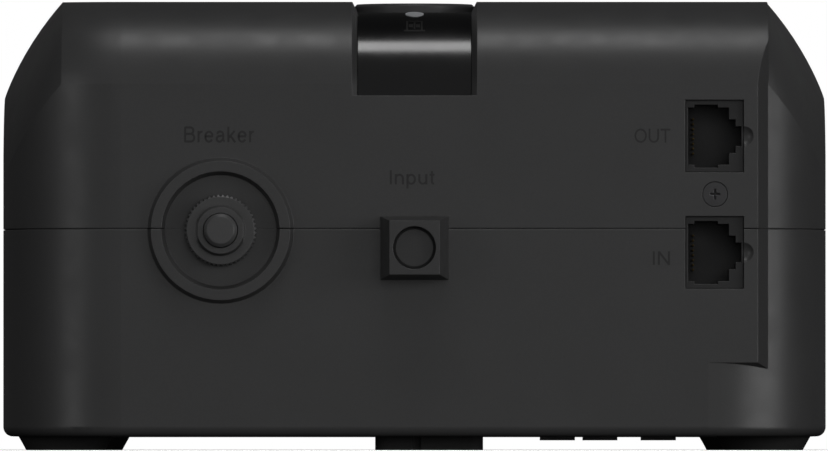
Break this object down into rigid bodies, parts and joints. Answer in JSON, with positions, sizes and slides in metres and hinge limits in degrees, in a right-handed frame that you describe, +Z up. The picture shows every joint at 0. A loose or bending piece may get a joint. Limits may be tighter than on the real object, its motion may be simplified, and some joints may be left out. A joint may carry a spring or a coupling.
{
  "type": "uninterruptible power supply",
  "caption": "Low desktop uninterruptible power supply with outlets along its top, a power button, and a breaker, cord inlet and data jacks at one end.",
  "frame": {"origin": "centre of the footprint on the surface the feet stand on", "axes": "-Y out of the end that carries the breaker, cord inlet and data jacks, +X to the right of that end as it is looked at, +Z up"},
  "size_m": [0.172, 0.294, 0.0936],
  "materials": {
    "alarm_buzzer": "moulded",
    "battery_case": "moulded",
    "battery_door": "fine matte texture",
    "battery_lead_black": "insulated wire",
    "battery_lead_red": "insulated wire",
    "battery_lid": "moulded",
    "battery_terminals": "tinned",
    "breaker_bushing": "satin",
    "breaker_case": "moulded",
    "breaker_nut": "satin",
    "breaker_reset_button": "satin",
    "breaker_tabs": "tinned",
    "bus_bars": "bare",
    "button_bezel": "satin",
    "centre_foot": "matte",
    "choke_coil": "enamelled copper",
    "control_chips": "moulded",
    "cord_gland": "matte",
    "data_jack_in": "matte",
    "data_jack_out": "matte",
    "earth_clips": "bare",
    "filter_capacitors": "shrink sleeve",
    "fuse_holder": "moulded",
    "heat_sink": "extruded",
    "housing_screws": "zinc plated",
    "indicator_board": "solder mask",
    "indicator_strip": "glossy",
    "inner_screws": "zinc plated",
    "input_leads": "insulated wire",
    "jack_bracket": "moulded",
    "jack_contacts": "gold plated",
    "jack_screw": "black oxide",
    "lower_shell": "fine matte texture",
    "main_board": "solder mask",
    "main_fuse": "clear",
    "outlet_clips": "bare",
    "outlet_left_1": "satin",
    "outlet_left_2": "satin",
    "outlet_left_3": "satin",
    "outlet_left_4": "satin",
    "outlet_right_1": "satin",
    "outlet_right_2": "satin",
    "outlet_right_3": "satin",
    "outlet_right_4": "satin",
    "power_button": "satin",
    "power_switch": "satin",
    "power_transistors": "moulded",
    "relays": "moulded",
    "rubber_feet": "matte",
    "status_led": "clear",
    "status_lens": "frosted",
    "surge_arresters": "satin",
    "surge_board": "solder mask",
    "transformer_bobbin": "moulded",
    "transformer_core": "laminated, varnished",
    "transformer_strap": "zinc plated",
    "transformer_winding": "taped",
    "upper_shell": "fine matte texture",
    "varistors": "lacquered",
    "wire_headers": "moulded"
  },
  "bodies": {
    "housing": {"alarm_buzzer": "alarm_buzzer", "battery_case": "battery_case", "battery_lead_black": "battery_lead_black", "battery_lead_red": "battery_lead_red", "battery_lid": "battery_lid", "battery_terminals": "battery_terminals", "breaker_bushing": "breaker_bushing", "breaker_case": "breaker_case", "breaker_nut": "breaker_nut", "breaker_tabs": "breaker_tabs", "bus_bars": "bus_bars", "button_bezel": "button_bezel", "centre_foot": "centre_foot", "choke_coil": "choke_coil", "control_chips": "control_chips", "cord_gland": "cord_gland", "data_jack_in": "data_jack_in", "data_jack_out": "data_jack_out", "earth_clips": "earth_clips", "filter_capacitors": "filter_capacitors", "fuse_holder": "fuse_holder", "heat_sink": "heat_sink", "housing_screws": "housing_screws", "indicator_board": "indicator_board", "indicator_strip": "indicator_strip", "inner_screws": "inner_screws", "input_leads": "input_leads", "jack_bracket": "jack_bracket", "jack_contacts": "jack_contacts", "jack_screw": "jack_screw", "lower_shell": "lower_shell", "main_board": "main_board", "main_fuse": "main_fuse", "outlet_clips": "outlet_clips", "outlet_left_1": "outlet_left_1", "outlet_left_2": "outlet_left_2", "outlet_left_3": "outlet_left_3", "outlet_left_4": "outlet_left_4", "outlet_right_1": "outlet_right_1", "outlet_right_2": "outlet_right_2", "outlet_right_3": "outlet_right_3", "outlet_right_4": "outlet_right_4", "power_switch": "power_switch", "power_transistors": "power_transistors", "relays": "relays", "rubber_feet": "rubber_feet", "status_led": "status_led", "status_lens": "status_lens", "surge_arresters": "surge_arresters", "surge_board": "surge_board", "transformer_bobbin": "transformer_bobbin", "transformer_core": "transformer_core", "transformer_strap": "transformer_strap", "transformer_winding": "transformer_winding", "upper_shell": "upper_shell", "varistors": "varistors", "wire_headers": "wire_headers"},
    "power_button": {"power_button": "power_button"},
    "breaker_button": {"breaker_reset_button": "breaker_reset_button"},
    "battery_door": {"battery_door": "battery_door"}
  },
  "joints": [
    {"name": "power_button_press", "type": "slide", "parent": "housing", "child": "power_button", "axis": [0, 0, -1], "range_m": [0, 0.0012], "stiffness_N_per_m": 800, "springref_m": -0.0006},
    {"name": "breaker_button_trip", "type": "slide", "parent": "housing", "child": "breaker_button", "axis": [0, -1, 0], "range_m": [0, 0.0035]},
    {"name": "battery_door_slide", "type": "slide", "parent": "housing", "child": "battery_door", "axis": [0, -1, 0], "range_m": [0, 0.018]}
  ]
}
